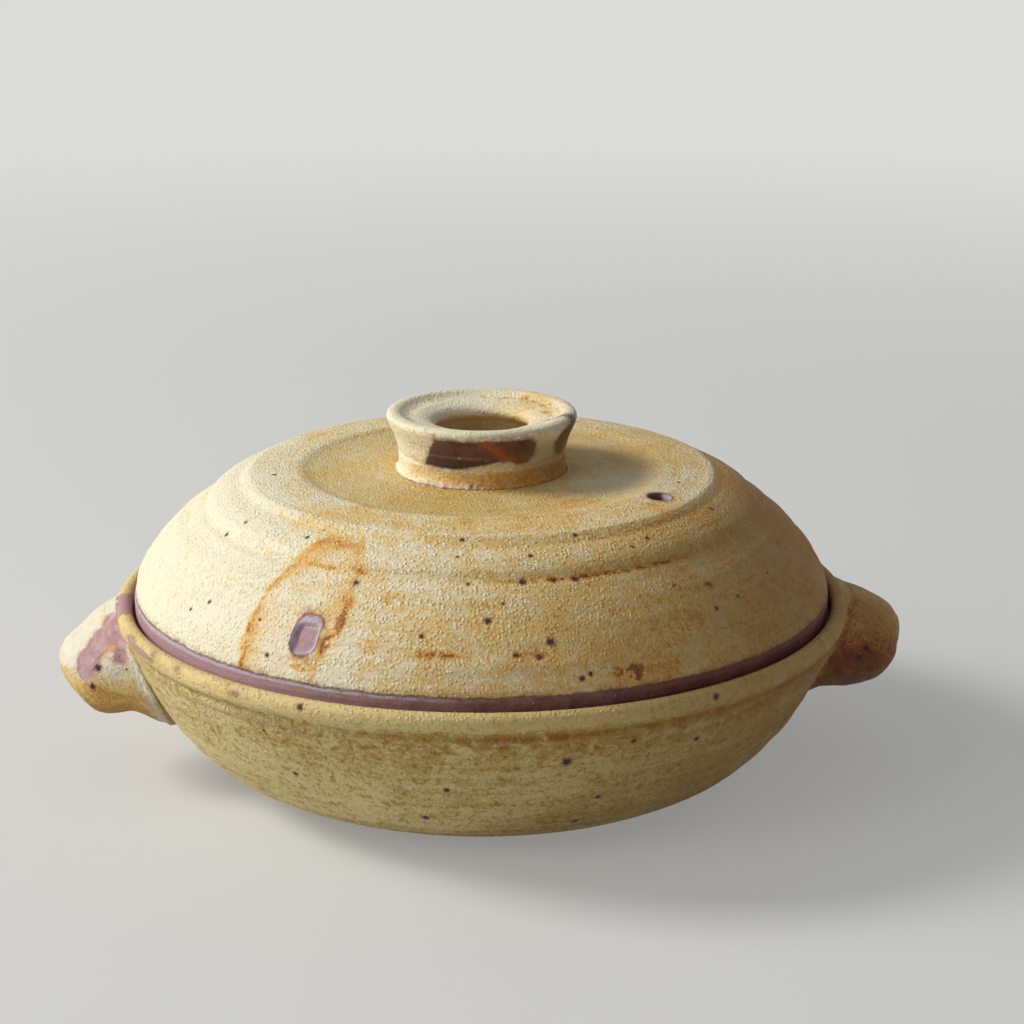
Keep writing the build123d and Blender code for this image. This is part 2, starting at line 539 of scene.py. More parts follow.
def throw(name, rows, finish, tree, **values):
    """A thrown piece from its outline rows."""
    points, marks = rows
    mesh = bpy.data.meshes.new(name + "_outline")
    places = [(r * MM, 0.0, z * MM) for r, z in points]
    mesh.from_pydata(places, [(i, i + 1) for i in range(len(places) - 1)], [])
    mesh.attributes.new("marks", "FLOAT", "POINT").data.foreach_set("value", list(marks))
    source = new_object(name + "_outline", mesh)
    use_tree(source, tree, {"Finish": finish, **{key.replace("_", " "): v for key, v in values.items()}})
    return plain_mesh(source, name)


def revolved(name, profile, steps):
    """A mesh turned round the axis from points (distance from the axis, height) in metres."""
    shape = bmesh.new()
    corners = [shape.verts.new((radius, 0.0, height)) for radius, height in profile]
    edges = [shape.edges.new(pair) for pair in zip(corners, corners[1:])]
    centre, axis = (0, 0, 0), (0, 0, 1)
    bmesh.ops.spin(shape, geom=corners + edges, axis=axis, cent=centre, angle=2 * math.pi, steps=steps)
    bmesh.ops.remove_doubles(shape, verts=shape.verts, dist=0.0001)
    mesh = bpy.data.meshes.new(name)
    shape.to_mesh(mesh)
    shape.free()
    return mesh


# Places on the pot


def on_ring(azimuth, radius, height):
    """The place at an azimuth in degrees, a distance from the axis and a height."""
    turn = math.radians(azimuth)
    return (radius * math.cos(turn), radius * math.sin(turn), height)


def around(azimuth):
    """Unit vectors at an azimuth in degrees: outwards, along the rings, and up."""
    return on_ring(azimuth, 1.0, 0.0), on_ring(azimuth + 90.0, 1.0, 0.0), (0.0, 0.0, 1.0)


def on_outline(rows, azimuth, radius):
    """The place on a piece's upper outline at an azimuth in degrees and a distance from the axis."""
    points = rows[0]
    spans = [(a, b) for a, b in zip(points, points[1:]) if min(a[0], b[0]) <= radius <= max(a[0], b[0])]
    a, b = max(spans, key=lambda span: span[1][1])
    share = (radius - a[0]) / (b[0] - a[0] or 1.0)
    return on_ring(azimuth, radius, a[1] + (b[1] - a[1]) * share)


def wall_radius(rows, height):
    """The bowl's outer radius at a height, in millimetres."""
    points = rows[0]
    widest = int(np.argmax(points[:, 0]))
    return np.interp(height, points[:widest, 1], points[:widest, 0])


def press_place(rows):
    return on_outline(rows, press_azimuth, press_radius)


def press_axes():
    """Across, down the dome, and out of it, at the thumb press."""
    out, along, _ = around(press_azimuth)
    lean = math.radians(52.0)
    down = (out[0] * math.cos(lean), out[1] * math.cos(lean), -math.sin(lean))
    outward = (out[0] * math.sin(lean), out[1] * math.sin(lean), math.cos(lean))
    return along, down, outward


def on_lug(side, places):
    """Places on a lug, from (reach, sideways, up from the rim's top, size) to (x, y, z, size)."""
    return [(side * reach, side * aside, rim_height + up, size) for reach, aside, up, size in places]


# Materials

layer_outputs = {"Color": "Color", "Roughness": "Float", "Height": "Float"}


def ash_glaze_group():
    """Matte wood-ash glaze over sandy clay.

    Where the glaze lies thick it is cream. Where it runs thin it turns ochre, then orange in
    the crevices of the sand, and at last it breaks to rust.
    """
    group, make, start, end = node_group(
        "ash_glaze",
        "ShaderNodeTree",
        {
            "Place": "Vector", "Lean": 1.0, "Seed": 0.0, "Thickness": 0.6, "Thick colour": cream_ash,
            "Middle colour": ochre_ash, "Thin colour": orange_ash, "Break colour": rust,
        },
        layer_outputs,
    )
    place, seed = start["Place"], start["Seed"]
    cloud = make.noise(place, 34.0, seed)
    patch = make.noise(place, 9.0, seed, detail=3.0, roughness=0.6)
    rings = make.ring_coordinates(place, start["Lean"], 36.0, 2.6)
    ring = make.noise(rings, 1.0, seed, detail=3.0, roughness=0.6)
    fleck = make.noise(place, 1.9, seed, detail=3.0, roughness=0.65)
    # Sand under the glaze: scattered bumps and pits about a millimetre across
    sand = make.noise(place, 0.8, seed, detail=1.0)
    to_grain, lot = make.scatter(place, 1.3)
    grain = make.ramp(to_grain, 0.66, 0.2) * make.ramp(lot, 0.1, 0.9)
    body = start["Thickness"]
    for layer, share in ((cloud, 0.75), (patch, 0.6), (ring, 0.4), (fleck, 0.8), (sand, 0.5), (grain, 0.06)):
        body += share * (layer - 0.5)
    colour = make.blend(make.ramp(body, 0.4, 0.82), start["Middle colour"], start["Thick colour"])
    colour = make.blend(make.ramp(body, 0.16, 0.44), start["Thin colour"], colour)
    colour = make.blend(make.ramp(body, -0.06, 0.16), start["Break colour"], colour)
    # Small orange specks that gather in some places, and a few dark pinholes
    gathered = make.ramp(make.noise(place, 17.0, seed, detail=1.0), 0.44, 0.62)
    speck = make.ramp(make.noise(place, 1.35, seed, roughness=0.6), 0.6, 0.7) * gathered
    colour = make.blend(0.55 * speck, colour, start["Thin colour"])
    to_pit, lot = make.scatter(place, 3.4)
    pit = make.ramp(to_pit / make.ramp(lot, 0.75, 1.0, 0.02, 0.1), 1.2, 0.7)
    make.put(end["Color"], make.blend(0.7 * pit, colour, start["Break colour"]))
    make.put(end["Roughness"], make.ramp(patch, 0.3, 0.7, 0.6, 0.74))
    hollow = make.ramp(sand, 0.44, 0.28)
    make.put(end["Height"], 0.3 * grain + 0.2 * ring - 0.14 * hollow + 0.16 * fleck - 0.26 * pit)
    return group


def bare_clay_group():
    """Iron-bearing clay left bare: brown to mauve, gritty, with pale grog and turning lines."""
    group, make, start, end = node_group(
        "bare_clay",
        "ShaderNodeTree",
        {
            "Place": "Vector", "Lean": 1.0, "Seed": 0.0,
            "Light colour": mauve_clay, "Dark colour": brown_clay,
        },
        layer_outputs,
    )
    place, seed = start["Place"], start["Seed"]
    cloud = make.noise(place, 8.0, seed, detail=4.0, roughness=0.65)
    colour = make.blend(make.ramp(cloud, 0.36, 0.62), start["Dark colour"], start["Light colour"])
    to_speck, lot = make.scatter(place, 1.9)
    speck = make.ramp(to_speck, 0.3, 0.16)
    colour = make.blend(0.6 * speck * make.math("GREATER_THAN", lot, 0.86), colour, pale_grog)
    colour = make.blend(0.5 * speck * make.math("LESS_THAN", lot, 0.2), colour, iron)
    make.put(end["Color"], colour)
    make.put(end["Roughness"], make.ramp(cloud, 0.3, 0.7, 0.46, 0.6))
    lines = make.noise(make.ring_coordinates(place, start["Lean"], 60.0, 1.1), 1.0, seed, detail=1.0)
    grit = make.noise(place, 0.8, seed, detail=3.0, roughness=0.65)
    make.put(end["Height"], 0.3 * lines + 0.5 * grit)
    return group


def glaze_line_group():
    """Where glaze stops on bare clay: a ragged edge, a dark line on it that is partly painted shade under
    the glaze's thick edge, a rusty halo, and a band for a painted sheen on the clay.

    Depth is the distance in millimetres into the bare clay, and negative on the glaze.
    """
    group, make, start, end = node_group(
        "glaze_line",
        "ShaderNodeTree",
        {"Place": "Vector", "Depth": 0.0, "Raggedness": 1.0, "Softness": 0.14, "Seed": 0.0},
        {"Bare": "Float", "Line": "Float", "Halo": "Float", "Bloom": "Float"},
    )
    place, seed, soft = start["Place"], start["Seed"], start["Softness"]
    waves = make.noise(place, 11.0, seed, detail=1.0) - 0.5
    nicks = make.noise(place, 2.2, seed, detail=3.0) - 0.5
    depth = (5.0 * waves + 2.6 * nicks) * start["Raggedness"] + start["Depth"]
    make.put(end["Bare"], make.ramp(depth, -1.0 * soft, soft))
    make.put(end["Line"], make.ramp(abs(depth + 0.25), 0.6, 0.15))
    make.put(end["Halo"], make.ramp(depth, -3.0, -0.2))
    make.put(end["Bloom"], make.ramp(abs(depth - 0.8), 0.9, 0.2))
    return group


def iron_spots_group(name, places):
    """Dark iron spots at chosen places, each (x, y, z, radius) in millimetres, and small strays."""
    inputs, outputs = {"Place": "Vector", "Seed": 0.0}, {"Spot": "Float", "Fringe": "Float"}
    group, make, start, end = node_group(name, "ShaderNodeTree", inputs, outputs)
    place = start["Place"]
    jitter = make.noise(place, 1.1, start["Seed"]) - 0.5
    moved = make.vector("ADD", place, (stray_shift, 0.0, 0.0))
    to_stray, lot = make.scatter(moved, stray_spacing)
    nearest = to_stray / make.ramp(lot, 0.7, 1.0, 0.01, 0.07)
    for *centre, radius in places:
        nearest = make.lowest(nearest, make.vector("DISTANCE", place, tuple(centre)) / radius)
    ragged = 1.3 * jitter + nearest
    make.put(end["Spot"], make.ramp(ragged, 1.1, 0.75))
    make.put(end["Fringe"], make.ramp(ragged, 2.1, 1.0))
    return group


class Finish:
    """One material: its place in millimetres, and layers of colour, roughness and height.

    The glaze's thickness is changed from place to place before the glaze is laid on.
    """

    def __init__(self, name, lean, seed, thickness):
        self.material = bpy.data.materials.new(name)
        self.material.use_nodes = True
        self.material.node_tree.nodes.clear()
        self.make = Tree(self.material.node_tree)
        self.lean = lean
        self.seed = seed
        self.thickness = thickness
        seen = self.make.node("ShaderNodeTexCoord").outputs()["Object"]
        self.place = self.make.vector("SCALE", seen, scale=1 / MM)
        self.x, self.y, self.z = self.make.split(self.place)
        self.radius = self.make.vector("LENGTH", self.make.vector("MULTIPLY", self.place, (1, 1, 0)))
        self.colour = None
        self.roughness = None
        self.height = None

    def use(self, group, **values):
        """A group's outputs, with its inputs given here or taken from the finish."""
        made = self.make.nodes.new("ShaderNodeGroup")
        made.node_tree = group
        known = {"Place": self.place, "Lean": self.lean, "Seed": self.seed, "Thickness": self.thickness}
        known.update({key.replace("_", " "): value for key, value in values.items()})
        for key, value in known.items():
            if key in made.inputs:
                self.make.put(made.inputs[key], value)
        return Value(self.make, made.outputs[0]).outputs()

    def near(self, value, centre, width):
        """1 at the centre, falling to 0 at a width to either side."""
        return self.make.ramp(abs(value - centre), width, 0.0)

    def broken(self, size, low, high, seed=0.0):
        """Patches of noise about `size` across."""
        return self.make.ramp(self.make.noise(self.place, size, self.seed + seed), low, high)

    def cover(self, layer, mask=None, thickness=0.0):
        """Lays a group's colour, roughness and height over what is there."""
        colour, roughness, height = (layer[name] for name in layer_outputs)
        if mask is not None:
            colour = self.make.blend(mask, self.colour, colour)
            roughness = self.make.mix(mask, self.roughness, roughness)
            height = self.make.mix(mask, self.height + thickness, height)
        self.colour, self.roughness, self.height = colour, roughness, height

    def tint(self, mask, colour, strength=1.0):
        self.colour = self.make.blend(mask * strength, self.colour, colour)

    def spots(self, name, places):
        layer = self.use(iron_spots_group(name, places))
        self.tint(layer["Fringe"], rust, 0.55)
        self.tint(layer["Spot"], iron, 0.97)

    def blobs(self, places):
        """Depth in millimetres into a patch of joined spheres, each (x, y, z, radius)."""
        depths = [
            radius - self.make.vector("DISTANCE", self.place, tuple(centre)) for *centre, radius in places
        ]
        return reduce(lambda a, b: self.make.math("SMOOTH_MAX", a, b, 1.5), depths)

    def oval(self, centre, axes, half_sizes, fullness=2.0):
        """Depth in millimetres into a rounded rectangle, on the side that its third axis faces."""
        moved = self.make.vector("SUBTRACT", self.place, centre)
        across, down, outward = (self.make.vector("DOT_PRODUCT", moved, axis) for axis in axes)
        far = abs(across / half_sizes[0]) ** fullness + abs(down / half_sizes[1]) ** fullness
        depth = (1.0 - far ** (1 / fullness)) * min(half_sizes)
        return self.make.lowest(depth, outward + 6.0)

    def smear(self, rows, azimuth, radius, half_length, half_width):
        """A soft broken smear, longer along the ring, on a piece's upper surface."""
        out, along, up = around(azimuth)
        down = (0.7 * out[0], 0.7 * out[1], -0.7)
        depth = self.oval(on_outline(rows, azimuth, radius), (along, down, up), (half_length, half_width))
        return self.make.ramp(depth, -1.0, 0.6) * self.broken(2.6, 0.36, 0.56, seed=7.0)

    def done(self):
        make = self.make
        bump = make.node("ShaderNodeBump", {"Height": self.height, "Strength": 1.0, "Distance": MM})
        surface = make.node(
            "ShaderNodeBsdfPrincipled",
            {"Base Color": self.colour, "Roughness": self.roughness, "Normal": bump, "IOR": glaze_ior},
        )
        make.put(make.nodes.new("ShaderNodeOutputMaterial").inputs["Surface"], surface)
        return self.material


def leaf_mark(finish, groups, turn):
    """A dip mark left of the lid's front: a leaf of thinner glaze with a rusty outline.

    Thins the glaze there, and gives back two masks: the wash of thin glaze, and the leaf.
    """
    make, radius = finish.make, finish.radius
    left = 0.000126 * (radius - 121.0) ** 2.0 + math.radians(-136.3)
    right = -0.000079 * (radius - 119.0) ** 2.0 + math.radians(-119.2)
    right += math.radians(-2.2) * make.ramp(radius, 122.5, 126.5)
    from_left = (turn - left) * radius
    from_right = (right - turn) * radius
    leaf = make.lowest(from_left, from_right, radius - 92.5)
    inside_leaf = finish.use(groups["line"], Depth=leaf, Raggedness=0.8, Softness=1.6)["Bare"]
    drift = make.ramp(make.noise(finish.place, 7.0, 2.0), 0.34, 0.62, 0.25, 1.0)
    near_edge = make.ramp(leaf, 11.0, 1.0, 0.35, 1.0)
    high_up = make.ramp(radius, 108.0, 100.0, 0.0, 0.5)
    wash = inside_leaf * drift * (near_edge + high_up)
    finish.thickness -= 0.26 * wash
    # Its outline is darkest low down on both sides, and breaks up towards the top
    width = make.ramp(make.noise(finish.place, 6.0, 11.0, detail=1.0), 0.36, 0.64, 0.8, 2.6)
    low_down = make.ramp(radius, 104.0, 119.0)
    shown = make.ramp(leaf, -4.5, -2.5) * make.ramp(radius, 90.0, 98.0)
    middle = make.ramp(finish.near(radius, 110.0, 6.0), 0.2, 0.7, 0.7, 0.1)
    for away, strength in ((abs(from_left), 1.0), (abs(from_right), middle)):
        side = shown * strength
        finish.thickness -= 0.2 * make.ramp(away, 4.4, 0.6) * side * drift
        core = make.ramp(away / width, 1.0, 0.1) * side * finish.broken(4.0, 0.32, 0.62)
        finish.thickness -= core * (0.24 * low_down + 0.22)
    return wash, inside_leaf


def turned_wear(finish, rows, turn, inside_leaf):
    """Glaze that ran thin or gathered along the lid's rings and steps, and its rusty smears."""
    make, x, radius = finish.make, finish.x, finish.radius
    # Rusty smears: azimuth, distance from the axis, half length, half width, and how much thinner
    for *where, thinner in (
        (-124.6, 130.4, 4.6, 2.8, 0.46), (-121.2, 126.0, 1.8, 4.2, 0.42), (-119.8, 121.0, 1.5, 4.6, 0.42),
        (-126.7, 96.3, 5.0, 3.0, 0.26), (-72.1, 131.2, 3.8, 2.8, 0.5), (-75.3, 130.8, 1.8, 1.4, 0.5),
        (-59.1, 113.9, 1.6, 1.4, 0.5), (-52.2, 116.0, 1.6, 1.4, 0.5), (-114.2, 125.6, 4.0, 2.6, 0.26),
        (-112.0, 112.2, 5.0, 2.4, 0.26), (-119.3, 104.4, 1.8, 1.4, 0.26),
    ):
        finish.thickness -= thinner * finish.smear(rows, *where)
    # Thin glaze on the edges of the steps, with a rusty line along the second
    front_right = make.ramp(x, -14.0, 6.0) * make.ramp(x, 75.0, 45.0)
    finish.thickness -= 0.5 * finish.near(radius, 105.3, 1.1) * finish.broken(3.4, 0.34, 0.62) * front_right
    finish.thickness -= 0.1 * finish.near(radius, 105.4, 2.6) * front_right
    across_leaf = make.ramp(finish.near(turn, math.radians(-128.5), math.radians(5.5)), 0.1, 0.5)
    finish.thickness -= 0.42 * finish.near(radius, 104.7, 0.9) * across_leaf
    for centre, width, thicker in ((104.6, 3.0, -0.06), (91.5, 2.2, -0.06), (87.6, 1.6, 0.12)):
        finish.thickness += thicker * finish.near(radius, centre, width)
    pale_edge = finish.near(radius, 103.1, 1.2) * make.ramp(x, -40.0, -70.0) * (1.0 - inside_leaf)
    finish.thickness += 0.3 * pale_edge
    # The raised band and the dish are golden at the left and creamier at the right
    finish.thickness -= 0.16 * make.ramp(radius, 98.0, 86.0) * make.ramp(x, 20.0, -60.0)
    finish.thickness += 0.14 * make.ramp(radius, 92.0, 86.0) * make.ramp(x, 10.0, 60.0)
    # Thinner, so darker, and more even on the right of the dome: partly the glaze's own tone, partly painted
    # shade
    finish.thickness -= 0.14 * make.ramp(x, 20.0, 120.0) * make.ramp(radius, 84.0, 98.0)
    # Rusty dashes along a low turning ring
    low_ring = finish.near(radius, 126.4, 1.5) * finish.broken(2.8, 0.36, 0.58, seed=4.0)
    for centre, half_turn in ((-103.0, 5.0), (-88.6, 3.6)):
        away = abs(turn - math.radians(centre))
        window = make.ramp(away, math.radians(half_turn), math.radians(0.4 * half_turn))
        finish.thickness -= 0.5 * low_ring * window
    # Round the knob's foot
    finish.thickness -= 0.25 * finish.near(radius, 35.0, 4.0) * finish.broken(9.0, 0.4, 0.6)


def bare_lid_clay(finish, groups, rows):
    """The bare skirt below the glaze line, the bare thumb press, and the steam hole."""
    make, x = finish.make, finish.x
    skirt = rim_height + glaze_stop - finish.z
    press = finish.oval(press_place(rows), press_axes(), (press_width / 2, press_length / 2), 2.8)
    flat_place = make.vector("MULTIPLY", finish.place, (1, 1, 0))
    from_hole = make.vector("DISTANCE", flat_place, (*steam_hole, 0.0))
    hole = steam_hole_radius + 0.6 - from_hole
    edge = finish.use(groups["line"], Depth=make.highest(skirt, press, hole), Raggedness=0.3)
    finish.tint(edge["Halo"] * finish.broken(3.0, 0.35, 0.6), rust, 0.5)
    finish.cover(finish.use(groups["clay"]), edge["Bare"], thickness=0.3)
    # Painted shade just inside the press's rim, and a painted lilac highlight at its top
    finish.tint(finish.near(press, 0.7, 0.8), dark_clay_and_shade, 0.6)
    moved = make.vector("SUBTRACT", finish.place, press_place(rows))
    down_press = make.vector("DOT_PRODUCT", moved, press_axes()[1])
    finish.tint(make.ramp(press, 0.6, 1.4) * make.ramp(down_press, -1.5, -4.0), lilac_slip_and_gleam, 0.6)
    # The bare clay is painted lighter and lilac on the lit left, and painted darker and redder in the shade
    # on the right
    finish.tint(edge["Bare"] * make.ramp(x, 10.0, -110.0), lit_rosy_clay, 0.8)
    finish.tint(edge["Bare"] * make.ramp(x, -10.0, 90.0), shaded_red_clay, 0.6)
    # Painted sheen: a bluish band on the bare clay just below the glaze, on the lit left
    painted_sheen = edge["Bloom"] * finish.broken(2.4, 0.3, 0.55) * make.ramp(x, 0.0, -50.0)
    finish.tint(painted_sheen, bluish_sheen, 0.75)
    # The dark line at the glaze's edge is partly the glaze's own edge and partly painted shade under it:
    # rusty by the press, dark elsewhere
    by_press = make.ramp(press, -2.0, -0.6)
    finish.tint(edge["Line"] * by_press, rust, 0.7)
    finish.tint(edge["Line"] * (1.0 - by_press), iron, 0.6)
    # Painted shade inside the steam hole, and a painted lilac highlight on its lit right wall near the top
    inside_hole = make.ramp(from_hole, steam_hole_radius + 0.5, steam_hole_radius)
    finish.tint(inside_hole, dark_clay_and_shade, 0.75)
    to_right = make.ramp(x, steam_hole[0] + 0.6, steam_hole[0] + 2.4)
    hole_highlight = to_right * make.ramp(finish.z, lid_top - 3.6, lid_top - 2.2)
    finish.tint(inside_hole * hole_highlight, lilac_slip_and_gleam, 0.85)


def lid_finish(groups, rows):
    """Cream and ochre glaze with spots along the rings, and a bare clay skirt."""
    finish = Finish("lid_finish", lean=-1.0, seed=3.0, thickness=0.46)
    make, x, radius = finish.make, finish.x, finish.radius
    turn = make.math("ARCTAN2", finish.y, x)
    # Paler on the left and golden from the front to the right: painted light on the lit left side, painted
    # shade towards the right
    finish.thickness += 0.44 * make.ramp(x, 40.0, -120.0)
    wash, inside_leaf = leaf_mark(finish, groups, turn)
    turned_wear(finish, rows, turn, inside_leaf)
    finish.cover(finish.use(groups["glaze"]))
    finish.tint(wash, orange_wash, 0.36)
    # Warmer clouds low on the front, a khaki dish, and painted shade over the flanks on the right
    low_front = finish.near(radius, 128.0, 16.0) * make.ramp(x, -50.0, 0.0) * make.ramp(x, 60.0, 30.0)
    finish.tint(low_front * finish.broken(9.0, 0.4, 0.6, seed=6.0), orange_ash, 0.5)
    # The dish's khaki is partly the glaze's colour and partly painted shade, stronger at the left where the
    # dish slopes away from the light
    dish = make.ramp(radius + finish.broken(14.0, 0.2, 0.8), 70.5, 67.0)
    finish.tint(dish * make.ramp(x, 60.0, -40.0, 0.5, 1.0), khaki_ash, 0.42)
    # Painted shade: the flanks on the right turn a darker brown
    flank = make.ramp(radius, 84.0, 98.0, 0.25, 1.0)
    finish.tint(make.ramp(x, 0.0, 120.0) * flank, right_shade_ash, 0.62)
    bare_lid_clay(finish, groups, rows)
    # Beads of slip squeezed out under the knob, at the front left
    bead = finish.near(radius, 34.2, 1.5) * make.ramp(finish.y + 0.3 * x, -14.0, -26.0)
    bead *= make.ramp(make.scatter(finish.place, 2.2)[0], 0.55, 0.2)
    bead *= make.math("GREATER_THAN", finish.z, lid_top - 1.0)
    finish.tint(bead, lilac_slip_and_gleam, 0.75)
    finish.height += 0.7 * bead
    finish.spots("lid_spots", lid_spots(rows))
    return finish.done()


def knob_finish(groups):
    """The lid's glaze, with a long patch left bare on the front of the ring."""
    finish = Finish("knob_finish", lean=-0.3, seed=8.0, thickness=0.88)
    make, x = finish.make, finish.x
    azimuth = make.math("ARCTAN2", finish.y, x) * (180 / math.pi)
    rise = finish.z - lid_top
    # Ochre below the turned groove, cream above; thinner and darker towards the right, which is painted
    # shade
    finish.thickness -= 0.2 * make.ramp(x, -20.0, 36.0)
    to_right = make.ramp(x, -34.0, 4.0, 0.25, 1.0)
    finish.thickness -= 0.52 * make.ramp(rise, 8.5, 5.0) * to_right
    finish.thickness -= 0.2 * make.ramp(rise, 3.5, 0.5) * finish.broken(2.6, 0.4, 0.6) * to_right
    finish.thickness -= 0.1 * finish.near(rise, 8.0, 1.0)
    finish.thickness -= 0.4 * finish.near(rise, 20.8, 1.4) * finish.broken(4.0, 0.52, 0.64)
    finish.cover(finish.use(groups["glaze"]))
    finish.height *= 0.6
    # The bare patch: a band under the roll, cut off square at the left, rounded at the right
    patch_end = -69.0
    mm_per_degree = math.radians(34.0)
    outside = finish.radius - 29.0
    left = (azimuth + 146.6 - 1.15 * rise) * mm_per_degree
    right = (patch_end - azimuth) * mm_per_degree
    upper = 18.9 - rise
    lower = rise - (4.0 * make.ramp(azimuth, -126.0, -70.0) + 7.3)
    round_end = (*on_ring(patch_end, 33.6, lid_top + 14.2), 5.4)
    back = ((28.9, -17.6, lid_top + 15.0, 5.6), (30.6, -13.4, lid_top + 18.6, 4.2), round_end)
    patch = make.highest(
        make.lowest(outside, left, right, upper, lower), make.lowest(finish.blobs(back), outside)
    )
    edge = finish.use(groups["line"], Depth=patch, Raggedness=0.38)
    finish.tint(edge["Halo"] * finish.broken(3.0, 0.35, 0.6), rust, 0.6)
    clay = finish.use(groups["clay"], Light_colour=knob_clay, Dark_colour=dark_clay_and_shade)
    finish.cover(clay, edge["Bare"], thickness=0.3)
    # Painted shade along a turning crease on its lower part, with a faint painted highlight above it
    creased = edge["Bare"] * make.ramp(azimuth, -86.0, -96.0)
    finish.tint(creased * make.ramp(rise, 11.3, 10.7), painted_crease_shade, 0.6)
    finish.tint(creased * finish.near(rise, 12.0, 0.7), lilac_slip_and_gleam, 0.12)
    # An orange flash across the patch
    flash = finish.near(2.1 * rise + azimuth, -55.0, 9.0) * finish.broken(3.0, 0.3, 0.5)
    finish.tint(edge["Bare"] * flash, flash_orange, 0.8)
    finish.tint(edge["Line"], iron, 0.45)
    # Painted shade: umber over the lower right of the knob
    finish.tint(make.ramp(x, -6.0, 30.0) * make.ramp(rise, 20.0, 12.0), umber_ash_and_shade, 0.6)
    # Beads of slip along the foot, at the front left
    front_left = make.ramp(finish.near(azimuth, -118.0, 36.0), 0.0, 0.5)
    bead = make.ramp(rise, 1.5, 0.7) * front_left * finish.broken(1.6, 0.36, 0.5)
    finish.tint(bead, lilac_slip_and_gleam, 0.85)
    finish.spots("knob_spots", [])
    return finish.done()


def bowl_finish(groups, rows):
    """Khaki glaze in faint turned bands, golden brown in the groove, bare gallery and foot, and painted
    shade towards the right.
    """
    finish = Finish("bowl_finish", lean=1.0, seed=5.0, thickness=0.66)
    make, x, z = finish.make, finish.x, finish.z
    # Painted shade: the glaze is set a little thinner, so darker, towards the right
    finish.thickness -= 0.001 * x
    bands = make.noise(make.ring_coordinates(finish.place, 1.0, 110.0, 5.0), 1.0, 21.0)
    finish.thickness += 0.5 * (bands - 0.5)
    # The glaze ran thin in the groove under the roll, most of all at the front and right; its brown there is
    # partly the glaze and partly painted shade under the roll
    front = make.ramp(x, -110.0, 20.0, 0.25, 1.0)
    finish.thickness -= 0.42 * finish.near(z, 59.6, 3.6) * finish.broken(5.0, 0.26, 0.6) * front
    finish.thickness -= 0.36 * finish.near(z, 55.0, 7.0) * finish.broken(4.0, 0.4, 0.66, seed=2.0) * front
    # Painted shade: thinner and browner towards the right
    finish.thickness -= 0.3 * make.ramp(x, 40.0, 120.0) * finish.broken(9.0, 0.36, 0.6, seed=5.0)
    finish.thickness -= 0.34 * finish.broken(2.4, 0.52, 0.7, seed=9.0)
    # Thicker on the rolled rim, thinner towards the foot
    finish.thickness += 0.2 * make.ramp(z, 62.0, 65.5)
    finish.thickness -= 0.06 * make.ramp(z, 24.0, 6.0)
    glaze = finish.use(
        groups["glaze"],
        Thick_colour=straw_ash, Middle_colour=khaki_ash, Thin_colour=umber_ash_and_shade, Break_colour=golden_brown_and_shade,
    )
    finish.cover(glaze)
    finish.tint(make.ramp(z, 62.0, 65.0), ochre_ash, 0.42)
    # Painted shade: umber laid over towards the right
    finish.tint(make.ramp(x, -60.0, 120.0), umber_ash_and_shade, 0.58)
    # Bare clay in the gallery, under the foot and where the rim is worn
    flange = rim_radius - 5.0 - finish.radius
    gallery = make.lowest(flange, rim_height - 1.6 - z, z - (rim_height - 12.0))
    bare = make.highest(gallery, 3.0 - z, rim_wear(finish))
    edge = finish.use(groups["line"], Depth=bare, Raggedness=0.4)
    finish.tint(edge["Halo"] * finish.broken(3.0, 0.35, 0.6), rust, 0.3)
    finish.cover(finish.use(groups["clay"]), edge["Bare"], thickness=0.2)
    # Painted light: the bare clay is lighter and rosier on the lit left
    finish.tint(edge["Bare"] * make.ramp(x, -60.0, -125.0), lit_rosy_clay, 0.6)
    finish.tint(edge["Line"], rust, 0.35)
    finish.spots("bowl_spots", bowl_spots(rows))
    return finish.done()


def rim_wear(finish):
    """Where the rolled rim's glaze was wiped off: over the roll at the left handle, and dashes."""
    beside_handle = 11.5 - abs(finish.y + 5.0)
    worn = finish.make.lowest(beside_handle, -130.0 - finish.x, finish.z - (rim_height - 3.8))
    # Azimuth, drop from the rim's top, half length and half height
    for azimuth, drop, *half_sizes in (
        (-157.4, 3.3, 6.5, 0.8), (-162.8, 2.5, 3.0, 0.7), (-153.8, 1.5, 1.4, 0.5), (-146.8, 1.6, 0.9, 0.6),
        (-133.8, 2.6, 1.4, 0.5),
    ):
        out, along, up = around(azimuth)
        dash = finish.oval(on_ring(azimuth, rim_radius, rim_height - drop), (along, up, out), half_sizes)
        worn = finish.make.highest(worn, dash)
    return worn


